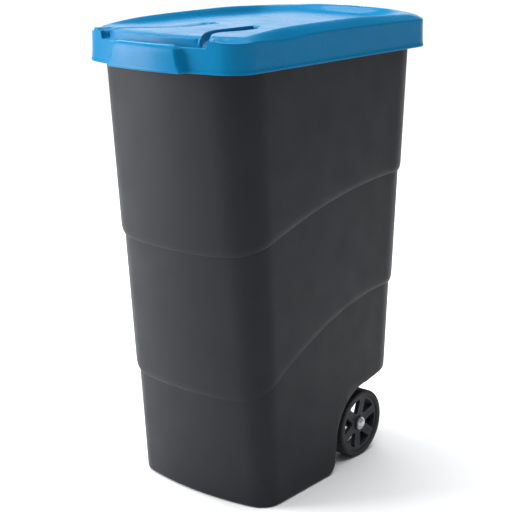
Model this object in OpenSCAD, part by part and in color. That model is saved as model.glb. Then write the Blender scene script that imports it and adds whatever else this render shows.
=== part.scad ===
// Two-wheeled household waste bin: a stepped tub, a hinged lid and two spoked wheels on a steel axle.
// Millimetres. +Z is up, the grip of the lid faces -Y, the wheels and the hinge are at +Y.
// The origin is on the floor, under the middle of the bounding box.

/* [Tub] */
// Half width of the lowest tier of the tub, which has upright sides
base_half_width = 162; // [150:1:166]
// Y of the front wall at the floor, on the centre line
base_front_y = -206.8; // [-215:0.2:-200]
// Y of the rear wall at the floor, before the wheel recess is taken out
base_rear_y = 223.8; // [216:0.2:228]
// How far the front wall leans out for each millimetre of height
front_lean = 0.101; // [0.095:0.001:0.105]
// How far the rear wall leans out for each millimetre of height
rear_lean = 0.055; // [0.045:0.001:0.06]
// How far each tier stands out from the tier below it
tier_step = 5; // [3:0.5:6]
// Wall thickness of the tub
tub_wall = 3; // [2.4:0.1:4]
// Height of the rim above the floor
rim_z = 857.5; // [850:0.5:857.5]

/* [Tiers] */
// Height of the lower step at the front
low_step_front_z = 215; // [205:1:225]
// Height of the upper step at the front
high_step_front_z = 493; // [483:1:500]
// Rise of the lower step from the front to the back
low_step_rise = 141; // [120:1:145]
// Rise of the upper step from the front to the back
high_step_rise = 88; // [70:1:95]

/* [Lid] */
// Half width of the lid at its bottom edge
lid_half_width = 183.5; // [182:0.5:188]
// Y of the front of the lid on the centre line, without the grip
lid_front_y = -316; // [-320:0.5:-315]
// Y of the back of the lid
lid_rear_y = 300.6; // [298:0.2:302]
// Height of the bottom edge of the skirt
skirt_bottom_z = 820; // [818:0.5:822]
// Height of the crease between the skirt and the top
crease_z = 873; // [872:0.5:875]
// Wall thickness of the lid
lid_wall = 2.6; // [2.2:0.1:3]

/* [Wheels] */
// Radius of a tyre
wheel_r = 69; // [66:0.5:70]
// Width of a wheel
wheel_width = 42; // [38:1:44]
// Outer face of a wheel, from the centre line
wheel_outer_x = 150; // [148:0.5:152]
// Radius of the steel axle
axle_r = 6; // [5:0.5:7]
// Y of the axle
axle_y = 133; // [130:1:136]

/* [Hinge] */
// Y of the hinge axis and of the pull bar
hinge_y = 317; // [316:0.5:319]
// Height of the hinge axis
hinge_z = 803; // [801:0.5:804]
// Radius of the pull bar
bar_r = 12; // [10:0.5:12.5]
// Radius of a hinge pin
pin_r = 4; // [3:0.5:5]

/* [Hidden] */
$fn = 96;
running_gap = 0.05;
side_gap = 0.4;
tub_colour = "#33363a";
lid_colour = "#2f86bd";
wheel_colour = "#3a3b3f";
tyre_colour = "#242528";
steel_colour = "#9a9c9e";

// ---- Outlines -------------------------------------------------------------------------------
// Points in each stretch of half an outline.
front_points = 8;
corner_points = 9;
side_points = 18;
rear_points = 3;

function smooth(t) = let(c = min(1, max(0, t))) c * c * (3 - 2 * c);
function arc(cx, cy, r, a0, a1, n) =
    [for (i = [0:n - 1]) let(a = a0 + (a1 - a0) * i / n) [cx + r * cos(a), cy + r * sin(a)]];
function mirrored(half) =
    concat(half, [for (i = [len(half) - 2:-1:1]) [-half[i][0], half[i][1]]]);

// Half width w, bowed front at yf with sagitta bow, flat back at yr, corner radii rf and rr.
// The front arc's points can be given as angles from the middle.
function outline(w, yf, yr, rf, rr, bow, stations = undef) =
    let(bow_r = (w * w + bow * bow) / (2 * bow))
    let(cx = w - rf)
    let(cy = yf + bow_r - sqrt(pow(bow_r - rf, 2) - cx * cx))
    let(a = atan2(cy - yf - bow_r, cx))
    mirrored(concat(
        stations == undef
            ? arc(0, yf + bow_r, bow_r, -90, a, front_points)
            : [for (s = stations) [bow_r * sin(s), yf + bow_r * (1 - cos(s))]],
        arc(cx, cy, rf, a, 0, corner_points),
        [for (i = [0:side_points - 1]) [w, cy + (yr - rr - cy) * i / side_points]],
        arc(w - rr, yr - rr, rr, 0, 90, corner_points),
        [for (i = [0:rear_points]) [(w - rr) * (1 - i / rear_points), yr]]));

// A solid whose skin runs through closed rings of equal length, the first and last ones flat.
// With a foot_middle the first ring, which may be hollow somewhere, is closed by a fan
// around that point.
module skin(rings, foot_middle = undef) {
    n = len(rings[0]);
    last = len(rings) - 1;
    fan = foot_middle != undef;
    points = concat([for (ring = rings) each ring],
        fan ? [[foot_middle[0], foot_middle[1], rings[0][0][2]]] : []);
    sides = [for (k = [0:last - 1], i = [0:n - 1])
        let(a = k * n + i, b = k * n + (i + 1) % n)
        each [[a, a + n, b], [b, a + n, b + n]]];
    first_cap = fan
        ? [for (i = [0:n - 1]) [i, (i + 1) % n, (last + 1) * n]]
        : [[for (i = [0:n - 1]) i]];
    last_cap = [for (i = [n - 1:-1:0]) last * n + i];
    polyhedron(points, concat(first_cap, sides, [last_cap]));
}

// Rounds the corners of a convex outline, given counter-clockwise.
function rounded(p, r, n = 5) = [for (i = [0:len(p) - 1])
    let(here = p[i], before = p[(i + len(p) - 1) % len(p)], after = p[(i + 1) % len(p)])
    let(u = (before - here) / norm(before - here), v = (after - here) / norm(after - here))
    let(half = acos(u * v) / 2)
    let(middle = here + (u + v) / norm(u + v) * r / sin(half))
    let(a0 = atan2((here + u * r / tan(half) - middle)[1], (here + u * r / tan(half) - middle)[0]))
    for (k = [0:n]) let(a = a0 + (180 - 2 * half) * k / n) middle + r * [cos(a), sin(a)]];

// ---- Tub ------------------------------------------------------------------------------------
corner_r_front = 49;
corner_r_front_gain = 0.03;
corner_r_rear = 62;
bow_base = 23;
bow_gain = 0.0175;

// The tub's outline at one height, for tier n counted from the bottom, moved outwards by out.
function tub_outline(z, n, out) = let(o = n * tier_step + out) outline(
    base_half_width + o,
    base_front_y - front_lean * z - o,
    base_rear_y + rear_lean * z + o,
    corner_r_front + corner_r_front_gain * z + o,
    corner_r_rear + o,
    bow_base + bow_gain * z);
function flat_ring(z, n, out) = [for (p = tub_outline(z, n, out)) [p[0], p[1], z]];

// The steps rise from front to back in an S.
function step_curve(y, y0, length) = smooth(pow(max(0, (y - y0) / length), 0.62));
function low_step_z(y) = low_step_front_z + low_step_rise * step_curve(y, -232, 425);
function high_step_z(y) = high_step_front_z + high_step_rise * step_curve(y, -262, 470);
function step_z(which, y) = which == 1 ? low_step_z(y) : high_step_z(y);
// A ring that follows step 1 or 2, lifted by dz, on tier n moved outwards by out.
function step_ring(which, dz, n, out) =
    let(base = tub_outline(step_z(which, 0), n, out))
    [for (i = [0:len(base) - 1])
        let(z = step_z(which, base[i][1]) + dz)
        let(p = tub_outline(z, n, out)[i])
        [p[0], p[1], z]];
// The rounded overhanging lip where one tier starts above another.
step_lip = [[-4, 0], [-2, 0.15], [-0.7, 0.7], [0.6, 0.9], [2.4, 0.98], [5, 1]];
function step_rings(which, out) =
    [for (s = step_lip) step_ring(which, s[0], which - 1, out + s[1] * tier_step)];

rim_flange = 4.5;
floor_radius = 7;
module tub_outside() {
    skin(concat(
        [flat_ring(0, 0, -floor_radius), flat_ring(0.6, 0, -0.55 * floor_radius),
            flat_ring(2.2, 0, -0.22 * floor_radius), flat_ring(floor_radius, 0, 0)],
        step_rings(1, 0),
        step_rings(2, 0),
        [flat_ring(rim_z - 13, 2, 0), flat_ring(rim_z - 10, 2, 1),
            flat_ring(rim_z - 9, 2, rim_flange), flat_ring(rim_z - 1.5, 2, rim_flange),
            flat_ring(rim_z, 2, rim_flange - 1.5)]));
}
module tub_inside() {
    skin(concat(
        [flat_ring(tub_wall, 0, -tub_wall - floor_radius),
            flat_ring(tub_wall + 2.2, 0, -tub_wall - 0.22 * floor_radius),
            flat_ring(tub_wall + floor_radius, 0, -tub_wall)],
        [for (which = [1, 2]) each [step_ring(which, -1, which - 1, -tub_wall),
            step_ring(which, 4, which, -tub_wall)]],
        [flat_ring(rim_z + 6, 2, -tub_wall)]));
}

// The space for the wheels and axle, seen along X; grow makes the matching inner wall.
recess_half_length = 220;
arch_y = 130;
arch_z = 66;
arch_r = 98;
arch_foot_r = 28;
recess_rear = [250, 187];
function recess_outline(grow) = concat(
    [for (a = [-90:15:0])
        [(arch_foot_r - grow) * cos(a), arch_foot_r + (arch_foot_r - grow) * sin(a)]],
    [for (a = [180:-6:90]) [arch_y + (arch_r + grow) * cos(a), arch_z + (arch_r + grow) * sin(a)]],
    [recess_rear + [0, grow], [recess_rear[0], -20], [0, -20]]);
module along_x(half_length) {
    rotate([90, 0, 90]) translate([0, 0, -half_length]) linear_extrude(2 * half_length) children();
}
module recess(grow) {
    along_x(recess_half_length) polygon(recess_outline(grow));
}
// A slab with its outline in Y and Z, from inner_x outwards on one side of the centre line.
module side_slab(side, inner_x, thickness) {
    rotate([90, 0, 90]) translate([0, 0, side > 0 ? inner_x : -inner_x - thickness]) children();
}

bracket_inner_x = 84;
bracket_thickness = 12;
boss_r = 17;
// A web under the recess roof that carries the axle.
module axle_bracket(side) {
    side_slab(side, bracket_inner_x, bracket_thickness) {
        linear_extrude(bracket_thickness) polygon([
            [axle_y - boss_r, wheel_r], [axle_y + boss_r, wheel_r],
            [axle_y + 2.6 * boss_r, arch_z + arch_r + 10], [axle_y - 2 * boss_r, arch_z + arch_r - 3]]);
        translate([axle_y, wheel_r, 0]) cylinder(r = boss_r, h = bracket_thickness);
    }
}

lug_inner_x = 64;
lug_thickness = 12;
lug_r = 14;
// An ear on the rear wall that carries the pull bar and one hinge pin.
module hinge_lug(side) {
    wall_y = base_rear_y + rear_lean * hinge_z + 2 * tier_step;
    side_slab(side, lug_inner_x, lug_thickness) {
        linear_extrude(lug_thickness) polygon([
            [wall_y - 1.5, hinge_z - 46], [hinge_y + 4, hinge_z - lug_r + 1],
            [hinge_y + 4, hinge_z + lug_r - 1], [wall_y - 1.5, hinge_z + lug_r - 2]]);
        translate([hinge_y, hinge_z, 0]) cylinder(r = lug_r, h = lug_thickness);
    }
}
module x_rod(y, z, r, x0, x1) {
    translate([x0, y, z]) rotate([0, 90, 0]) cylinder(r = r, h = x1 - x0);
}
pin_depth = 20;
axle_bore_half = 120;
pin_bore_end = 100;
pin_inner_x = lug_inner_x + lug_thickness - pin_depth;

module tub() {
    color(tub_colour) difference() {
        union() {
            difference() {
                tub_outside();
                recess(0);
                difference() {
                    tub_inside();
                    recess(tub_wall);
                }
            }
            for (side = [-1, 1]) {
                axle_bracket(side);
                hinge_lug(side);
            }
            x_rod(hinge_y, hinge_z, bar_r, -lug_inner_x - 1, lug_inner_x + 1);
        }
        x_rod(axle_y, wheel_r, axle_r + running_gap, -axle_bore_half, axle_bore_half);
        for (side = [-1, 1])
            x_rod(hinge_y, hinge_z, pin_r + running_gap,
                side > 0 ? pin_inner_x : -pin_bore_end, side > 0 ? pin_bore_end : -pin_inner_x);
    }
}

// ---- Lid ------------------------------------------------------------------------------------
lid_corner_front = 57;
lid_corner_rear = 49;
lid_bow = 34;
lid_bow_r = (pow(lid_half_width, 2) + pow(lid_bow, 2)) / (2 * lid_bow);
teardrop_corner = 120;
ridge_inset = 21;
dish_inset = 37;

// Angles of the outline's points along the bowed front, from the middle to the corner,
// outside and inside.
outer_stations = [0, 3, 6, 8.8, 9.4, 11.6, 13.9, 14.4];
inner_stations = [0, 3, 6, 8.5, 9.1, 11.6, 14.15, 14.65];
grip_stations = 4;
notch_stations = 7;

// The lid's outline moved inwards by d; its rear corners grow rounder towards the middle.
function lid_outline(d, stations) =
    let(w = lid_half_width - d, r = lid_bow_r - d)
    outline(w, lid_front_y + d, lid_rear_y - d, max(24, lid_corner_front - d),
        lid_corner_rear - min(d, 6) + teardrop_corner * smooth((d - 6) / dish_inset) * 0.7,
        r - sqrt(r * r - w * w), stations);
// Height of the crease, the ridge behind it and the dished panel.
function lid_crease(y) = crease_z + 3 * exp(-pow((y - lid_front_y) / 45, 2))
    - 5.5 * exp(-pow((y + 165) / 55, 2)) - 3 * smooth((y - 160) / 130);
function lid_ridge(x, y) = 877 + 11 * smooth((y + 255) / 190) - 4 * smooth((y - 150) / 100)
    + 6 * max(0, 1 - pow(x / 130, 2)) * smooth((y - 200) / 70);
function lid_dish(y) = 877.5 - 5 * smooth((y + 50) / 260);
// Height of the top where it lies d inwards from the edge.
function lid_top(x, y, d) =
    d < ridge_inset
        ? lid_crease(y) + (lid_ridge(x, y) - lid_crease(y)) * sin(90 * d / ridge_inset)
        : lid_ridge(x, y) + (lid_dish(y) - lid_ridge(x, y))
            * smooth((d - ridge_inset) / (dish_inset - ridge_inset));

// A ring of the lid's skin. Away from the notch it lies d inwards, at height z. In the notch it lies
// notch_d inwards, at height notch_z, and on the grip it stands out from there by out.
function along_front(i, n) = min(i, n - i);
function skirt_ring(d, z, notch_d, notch_z, out, stations) =
    let(plain = lid_outline(d, stations), notch = lid_outline(notch_d, stations))
    let(grip = lid_outline(notch_d - out, stations), n = len(plain))
    [for (i = [0:n - 1]) let(k = along_front(i, n))
        k < grip_stations ? [grip[i][0], grip[i][1], notch_z]
            : k < notch_stations ? [notch[i][0], notch[i][1], notch_z]
            : [plain[i][0], plain[i][1], z]];
// A ring of the top, lowered by down.
function top_ring(d, notch_d, down, stations) =
    let(plain = lid_outline(d, stations), notch = lid_outline(notch_d, stations), n = len(plain))
    [for (i = [0:n - 1])
        let(inside = along_front(i, n) < notch_stations)
        let(p = inside ? notch[i] : plain[i])
        [p[0], p[1], lid_top(p[0], p[1], inside ? notch_d : d) - down]];
// The ring where the skirt meets the top, with a lip in the notch.
function crease_ring(d, down, notch_d, notch_z, stations) =
    let(plain = lid_outline(d, stations), notch = lid_outline(notch_d, stations), n = len(plain))
    [for (i = [0:n - 1])
        along_front(i, n) < notch_stations
            ? [notch[i][0], notch[i][1], notch_z]
            : [plain[i][0], plain[i][1], lid_crease(plain[i][1]) - down]];
function dish_ring(s, down, stations) =
    [for (p = lid_outline(dish_inset, stations)) [s * p[0], s * p[1], lid_dish(s * p[1]) - down]];
function dish_middle(down, stations) =
    [for (p = lid_outline(dish_inset, stations)) [0.12 * p[0], 0.12 * p[1], lid_dish(0) - down]];

lid_draft = 2.5;
ledge_z = 862;
ledge_depth = 12;
lip_wall = 3;
grip_out = 15;
lip_d = lid_draft + ledge_depth;
foot_middle = [7, -35];
// Insets of the rings across the top: all round, and in the notch.
outside_insets = [[5.5, 16.5], [9, 18], [13, 20], [17, 22], [21, 24], [25, 26.5], [28, 29],
    [31, 31.5], [34, 34]];
inside_insets = [[8, 18], [13, 19.5], [17, 21], [22, 24], [26, 27], [30, 30.5], [34, 34]];
module lid_outside() {
    f = outer_stations;
    z0 = skirt_bottom_z;
    skin(concat(
        [skirt_ring(0, z0, 0, z0, grip_out, f),
            skirt_ring(0.1, z0 + 2.5, 0.1, z0 + 2.5, grip_out, f),
            skirt_ring(1.2, z0 + 4, 1.2, z0 + 4, grip_out, f),
            skirt_ring(2.1, ledge_z - 9, 2.1, ledge_z - 9, grip_out, f),
            skirt_ring(2.2, ledge_z - 4.5, 2.2, ledge_z - 4.5, grip_out - 1.2, f),
            skirt_ring(2.3, ledge_z - 1.2, 2.3, ledge_z - 1.2, grip_out - 4.5, f),
            skirt_ring(2.4, ledge_z + 2, 2.4, ledge_z, grip_out - 9, f),
            crease_ring(lid_draft, 1.6, lip_d, ledge_z, f)],
        [crease_ring(3.2, -0.6, lip_d + 0.5, ledge_z + 11.5, f)],
        [for (d = outside_insets) top_ring(d[0], d[1], 0, f)],
        [for (s = [1, 0.7, 0.4]) dish_ring(s, 0, f)],
        [dish_middle(0, f)]), foot_middle);
}
// The space inside the lid, open at the foot.
module lid_inside() {
    f = inner_stations;
    t = lid_wall;
    z0 = skirt_bottom_z;
    skin(concat(
        [skirt_ring(t, z0 - 3, t, z0 - 3, grip_out, f),
            skirt_ring(t + 0.3, z0 + 2.8, t + 0.3, z0 + 2.8, grip_out, f),
            skirt_ring(1.2 + t, z0 + 5, 1.2 + t, z0 + 5, grip_out, f),
            skirt_ring(2.1 + t, ledge_z - 10, 2.1 + t, ledge_z - 10, grip_out, f),
            skirt_ring(2.2 + t, ledge_z - 6.4, 2.2 + t, ledge_z - 6.4, grip_out - 1.4, f),
            skirt_ring(2.3 + t, ledge_z - 3.6, 2.3 + t, ledge_z - 3.6, grip_out - 4.4, f),
            skirt_ring(2.4 + t, ledge_z, 2.4 + t, ledge_z - t, grip_out - 8, f),
            crease_ring(lid_draft + t, t + 0.4, lip_d + lip_wall, ledge_z - t, f)],
        [for (d = inside_insets) top_ring(d[0], d[1], t, f)],
        [for (s = [1, 0.7, 0.4]) dish_ring(s, t, f)],
        [dish_middle(t, f)]), foot_middle);
}

// The sunken channel on each side of the tongue, seen from above; grow widens it.
channel_floor_z = 863.5;
channel_start = [112, -295];
channel_bend = [52, -215];
channel_end = [50, -95];
above_lid = 900;
function channel_centre(t) =
    pow(1 - t, 2) * channel_start + 2 * t * (1 - t) * channel_bend + t * t * channel_end;
function channel_half_width(t) = 9 - 3 * sin(180 * t) + 3 * t;
function channel_side(side, grow) = [for (i = [0:12])
    let(t = i / 12)
    let(ahead = channel_centre(t + 0.01) - channel_centre(t - 0.01))
    let(along = ahead / norm(ahead))
    channel_centre(t) + side * (channel_half_width(t) + grow) * [along[1], -along[0]]
        + (i == 12 ? grow : 0) * along];
module channel(z0, z1, grow) {
    left = channel_side(-1, grow);
    right = channel_side(1, grow);
    translate([0, 0, z0]) linear_extrude(z1 - z0)
        polygon(concat(left, [for (i = [len(right) - 1:-1:0]) right[i]]));
}
module both_channels(z0, z1, grow) {
    for (side = [0, 1]) mirror([side, 0, 0]) channel(z0, z1, grow);
}

knuckle_thickness = 12;
knuckle_r = 11;
knuckle_inner_x = lug_inner_x + lug_thickness + side_gap;
knuckle_outer_x = knuckle_inner_x + knuckle_thickness;
module knuckle(side) {
    skirt_y = lid_rear_y - lid_draft;
    side_slab(side, knuckle_inner_x, knuckle_thickness) {
        linear_extrude(knuckle_thickness) polygon([
            [skirt_y, skirt_bottom_z + 3], [hinge_y - 9, hinge_z - 5], [hinge_y + 8, hinge_z],
            [hinge_y + 8, hinge_z + 10], [skirt_y, crease_z - 16]]);
        translate([hinge_y, hinge_z, 0]) cylinder(r = knuckle_r, h = knuckle_thickness);
    }
}

module lid() {
    color(lid_colour) difference() {
        union() {
            difference() {
                lid_outside();
                difference() {
                    lid_inside();
                    both_channels(channel_floor_z - lid_wall, above_lid, lid_wall);
                }
                both_channels(channel_floor_z, above_lid + 5, 0);
            }
            for (side = [-1, 1]) knuckle(side);
        }
        for (side = [-1, 1])
            x_rod(hinge_y, hinge_z, pin_r + running_gap, side > 0 ? 70 : -95, side > 0 ? 95 : -70);
    }
}

// A headed pin, pushed in from the outside through the lid's knuckle into the lug.
pin_head_r = 7;
pin_head = 3.5;
module hinge_pin(side) {
    color(tub_colour) mirror([side > 0 ? 0 : 1, 0, 0]) {
        x_rod(hinge_y, hinge_z, pin_r, pin_inner_x + 0.5, knuckle_outer_x + side_gap + 0.5);
        translate([knuckle_outer_x + side_gap, hinge_y, hinge_z]) rotate([0, 90, 0])
            rotate_extrude() polygon([[0, 0], [pin_head_r, 0], [pin_head_r, pin_head - 1.5],
                [pin_head_r - 1.5, pin_head], [0, pin_head]]);
    }
}

// ---- Wheels and axle ------------------------------------------------------------------------
tyre_inner_r = wheel_r - 10;
rim_inner_r = tyre_inner_r - 6;
rim_flange_width = 2.5;
hub_r = 15;
spoke_count = 6;
first_window = 21;
spoke_half_width = 8.5;
window_near_angle = 7;
window_corner_r = 2.4;
web_thickness = 9;
web_dish = 4;
washer_thickness = 1.5;
washer_r = 13;
cap_r = 11.5;
cap_height = 5.5;
wheel_inner_x = wheel_outer_x - wheel_width;
hub_outer_x = wheel_outer_x - 3.4;
hub_inner_x = bracket_inner_x + bracket_thickness + washer_thickness + 2 * side_gap;
axle_half = hub_outer_x + washer_thickness + 4.5;

// Places a piece that is drawn round Z at the axle, its Z pointing away from the centre line.
module on_axle(side, x) {
    mirror([side > 0 ? 0 : 1, 0, 0]) translate([x, axle_y, wheel_r]) rotate([0, 90, 0]) children();
}

// One opening between two spokes.
function window() =
    let(outer = rim_inner_r - 0.5, a = 30 - asin(spoke_half_width / outer))
    let(near = 2 * spoke_half_width + 6, b = window_near_angle)
    rounded([[near * cos(b), -near * sin(b)], [outer * cos(a), -outer * sin(a)],
        [outer * 1.012, 0], [outer * cos(a), outer * sin(a)], [near * cos(b), near * sin(b)]],
        window_corner_r);

module wheel(side) {
    flange = rim_flange_width;
    web_outer = wheel_width - flange - web_dish;
    color(wheel_colour) on_axle(side, wheel_inner_x) difference() {
        union() {
            // Rim with a low flange at each edge, the dished web and the hub.
            rotate_extrude() polygon([[rim_inner_r, flange], [tyre_inner_r, flange],
                [tyre_inner_r, wheel_width - flange], [rim_inner_r, wheel_width - flange]]);
            rotate_extrude() polygon([[hub_r - 2, web_outer - web_thickness],
                [rim_inner_r + 1, wheel_width - flange - 1.5 - web_thickness],
                [rim_inner_r + 1, wheel_width - flange - 1.5],
                [hub_r - 2, web_outer]]);
            translate([0, 0, hub_inner_x - wheel_inner_x])
                cylinder(r = hub_r, h = hub_outer_x - hub_inner_x);
        }
        for (k = [0:spoke_count - 1]) rotate([0, 0, first_window + k * 360 / spoke_count])
            translate([0, 0, web_outer - web_thickness - 2])
                linear_extrude(web_thickness + web_dish + 5) polygon(window());
        translate([0, 0, hub_inner_x - wheel_inner_x - 1])
            cylinder(r = axle_r + running_gap, h = wheel_width + 20);
    }
}

tread_grooves = 3;
groove_depth = 1.6;
groove_width = 2.6;
module tyre(side) {
    shoulder = 4;
    color(tyre_colour) on_axle(side, wheel_inner_x) difference() {
        rotate_extrude() polygon(concat(
            [[tyre_inner_r + running_gap, 1.2], [tyre_inner_r + 3, 0]],
            arc(wheel_r - shoulder, shoulder, shoulder, -90, 0, 4), [[wheel_r, shoulder]],
            arc(wheel_r - shoulder, wheel_width - shoulder, shoulder, 0, 90, 4),
            [[wheel_r - shoulder, wheel_width], [tyre_inner_r + 3, wheel_width],
                [tyre_inner_r + running_gap, wheel_width - 1.2]]));
        for (k = [1:tread_grooves])
            rotate_extrude()
                translate([wheel_r - groove_depth,
                    k * wheel_width / (tread_grooves + 1) - groove_width / 2])
                    square([groove_depth + 1, groove_width]);
    }
}

module axle() {
    color(steel_colour) x_rod(axle_y, wheel_r, axle_r, -axle_half, axle_half);
}
module washer(side, x) {
    color(steel_colour) on_axle(side, x) difference() {
        cylinder(r = washer_r, h = washer_thickness);
        translate([0, 0, -1]) cylinder(r = axle_r + running_gap, h = washer_thickness + 2);
    }
}
module inner_washer(side) {
    washer(side, bracket_inner_x + bracket_thickness + side_gap / 2);
}
module outer_washer(side) {
    washer(side, hub_outer_x + side_gap);
}
// The domed push-on cap that keeps a wheel on the axle.
module axle_cap(side) {
    seat_x = hub_outer_x + washer_thickness + 2 * side_gap;
    color(steel_colour) on_axle(side, seat_x) difference() {
        rotate_extrude() polygon(concat([[0, 0], [cap_r, 0], [cap_r, 1.2], [cap_r - 1.6, 1.6]],
            [for (a = [15:15:90]) [(cap_r - 2.4) * cos(a), 1.6 + (cap_height - 1.6) * sin(a)]]));
        translate([0, 0, -1]) cylinder(r = axle_r + running_gap, h = axle_half - seat_x + 1.1);
    }
}

tub();
lid();
hinge_pin(-1);  // hinge_pin_left
hinge_pin(1);  // hinge_pin_right
axle();
wheel(-1);  // wheel_left
wheel(1);  // wheel_right
tyre(-1);  // tyre_left
tyre(1);  // tyre_right
inner_washer(-1);  // inner_washer_left
inner_washer(1);  // inner_washer_right
outer_washer(-1);  // outer_washer_left
outer_washer(1);  // outer_washer_right
axle_cap(-1);  // axle_cap_left
axle_cap(1);  // axle_cap_right
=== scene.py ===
"""A two-wheeled waste bin with a stepped dark tub and a blue dished lid, on a pale studio floor.

Lengths in the shape code are millimetres in the part's own frame, and become metres when a mesh is made.
"""
import functools
import math

import bmesh
import bpy
import numpy as np
from mathutils import Matrix, Vector
from mathutils.geometry import delaunay_2d_cdt


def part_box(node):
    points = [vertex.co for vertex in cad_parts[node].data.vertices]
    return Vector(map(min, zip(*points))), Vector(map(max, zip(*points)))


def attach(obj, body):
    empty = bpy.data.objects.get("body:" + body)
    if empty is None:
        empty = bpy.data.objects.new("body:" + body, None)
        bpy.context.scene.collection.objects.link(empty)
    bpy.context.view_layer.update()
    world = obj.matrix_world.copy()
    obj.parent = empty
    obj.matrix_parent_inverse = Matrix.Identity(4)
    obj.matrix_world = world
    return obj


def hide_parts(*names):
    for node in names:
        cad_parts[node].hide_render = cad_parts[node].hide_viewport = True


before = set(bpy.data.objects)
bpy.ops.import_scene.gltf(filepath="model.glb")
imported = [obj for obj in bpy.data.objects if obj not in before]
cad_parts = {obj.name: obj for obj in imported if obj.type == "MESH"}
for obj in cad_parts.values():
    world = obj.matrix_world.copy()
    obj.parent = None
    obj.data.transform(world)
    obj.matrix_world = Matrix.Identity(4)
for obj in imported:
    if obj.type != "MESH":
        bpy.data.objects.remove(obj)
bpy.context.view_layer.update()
scene = bpy.context.scene

MM = 0.001
cos, sin, pi = math.cos, math.sin, math.pi


# ---- Mesh helpers ---------------------------------------------------------------------------
def make_object(name, points, faces, smooth_angle=35.0):
    """A mesh object from points in millimetres, shaded smooth below an angle in degrees."""
    mesh = bpy.data.meshes.new(name)
    mesh.from_pydata([(x * MM, y * MM, z * MM) for x, y, z in points], [], faces)
    mesh.validate()
    obj = bpy.data.objects.new(name, mesh)
    scene.collection.objects.link(obj)
    shade(obj, smooth_angle)
    return obj


def shade(obj, smooth_angle=35.0):
    obj.data.shade_smooth()
    obj.data.set_sharp_from_angle(angle=math.radians(smooth_angle))


def apply_modifiers(obj):
    """Replaces the object's mesh by its evaluated one."""
    bpy.context.view_layer.update()
    graph = bpy.context.evaluated_depsgraph_get()
    mesh = bpy.data.meshes.new_from_object(obj.evaluated_get(graph))
    obj.modifiers.clear()
    old = obj.data
    obj.data = mesh
    bpy.data.meshes.remove(old)


def boolean(obj, other, operation="DIFFERENCE"):
    """Applies an exact boolean and removes the other solid."""
    modifier = obj.modifiers.new("boolean", "BOOLEAN")
    modifier.operation = operation
    modifier.solver = "EXACT"
    modifier.object = other
    apply_modifiers(obj)
    bpy.data.objects.remove(other)


def fix_normals(obj):
    bm = bmesh.new()
    bm.from_mesh(obj.data)
    bmesh.ops.recalc_face_normals(bm, faces=bm.faces)
    bm.to_mesh(obj.data)
    bm.free()


def bevel(obj, width, segments=2, angle=35.0, apply=True):
    modifier = obj.modifiers.new("bevel", "BEVEL")
    modifier.width = width * MM
    modifier.segments = segments
    modifier.limit_method = "ANGLE"
    modifier.angle_limit = math.radians(angle)
    modifier.use_clamp_overlap = True
    if apply:
        apply_modifiers(obj)


def skin(name, rings, smooth_angle=35.0):
    """A closed mesh through rings of equal length, with flat caps."""
    n = len(rings[0])
    points = [p for ring in rings for p in ring]
    faces = [list(range(n - 1, -1, -1))]
    for k in range(len(rings) - 1):
        for i in range(n):
            a, b = k * n + i, k * n + (i + 1) % n
            faces.append([a, b, b + n, a + n])
    faces.append([(len(rings) - 1) * n + i for i in range(n)])
    return make_object(name, points, faces, smooth_angle)


def prism_x(name, outline_yz, x0, x1):
    """A prism along X from a closed outline in Y and Z."""
    n = len(outline_yz)
    points = [(x0, y, z) for y, z in outline_yz] + [(x1, y, z) for y, z in outline_yz]
    faces = [list(range(n)), [2 * n - 1 - i for i in range(n)]]
    faces += [[i, i + n, (i + 1) % n + n, (i + 1) % n] for i in range(n)]
    obj = make_object(name, points, faces)
    fix_normals(obj)
    return obj


def lathe_x(name, profile, centre, steps):
    """A closed profile of (radius, distance along X) turned round an axis along X at centre (x, y, z)."""
    cx, cy, cz = centre
    points, faces = [], []
    n = len(profile)
    for k in range(steps):
        a = 2 * pi * k / steps
        points += [(cx + w, cy + r * cos(a), cz + r * sin(a)) for r, w in profile]
        for i in range(n):
            j, after = (i + 1) % n, (k + 1) % steps
            faces.append([k * n + i, k * n + j, after * n + j, after * n + i])
    obj = make_object(name, points, faces)
    weld(obj)
    return obj


def weld(obj, distance=0.01):
    bm = bmesh.new()
    bm.from_mesh(obj.data)
    bmesh.ops.remove_doubles(bm, verts=bm.verts, dist=distance * MM)
    bmesh.ops.dissolve_degenerate(bm, edges=bm.edges, dist=distance * MM)
    bmesh.ops.delete(bm, geom=[e for e in bm.edges if e.is_wire], context="EDGES")
    bmesh.ops.recalc_face_normals(bm, faces=bm.faces)
    bm.to_mesh(obj.data)
    bm.free()


def rounded_profile(corners, steps=4):
    """A closed polygon from corners of (x, y, radius)."""
    out = []
    n = len(corners)
    for i in range(n):
        here = Vector(corners[i][:2])
        radius = corners[i][2]
        before, after = Vector(corners[i - 1][:2]), Vector(corners[(i + 1) % n][:2])
        u, v = (before - here).normalized(), (after - here).normalized()
        half = u.angle(v) / 2
        reach = min(radius / math.tan(half), 0.45 * (before - here).length, 0.45 * (after - here).length)
        p, q = here + u * reach, here + v * reach
        if reach < 1e-4 or half > 1.5:
            out.append(tuple(here))
            continue
        for k in range(steps + 1):
            t = k / steps
            out.append(tuple(p * (1 - t) ** 2 + here * 2 * t * (1 - t) + q * t * t))
    return out


# ---- Outlines -------------------------------------------------------------------------------
def smooth(t):
    t = min(1.0, max(0.0, t))
    return t * t * (3 - 2 * t)


def arc(cx, cy, r, a0, a1, n):
    """n points of an arc, in degrees, without its last point."""
    return [(cx + r * cos(math.radians(a0 + (a1 - a0) * i / n)),
             cy + r * sin(math.radians(a0 + (a1 - a0) * i / n))) for i in range(n)]


FRONT_STEPS, CORNER_STEPS, SIDE_STEPS, REAR_STEPS = 24, 16, 60, 10


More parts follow.
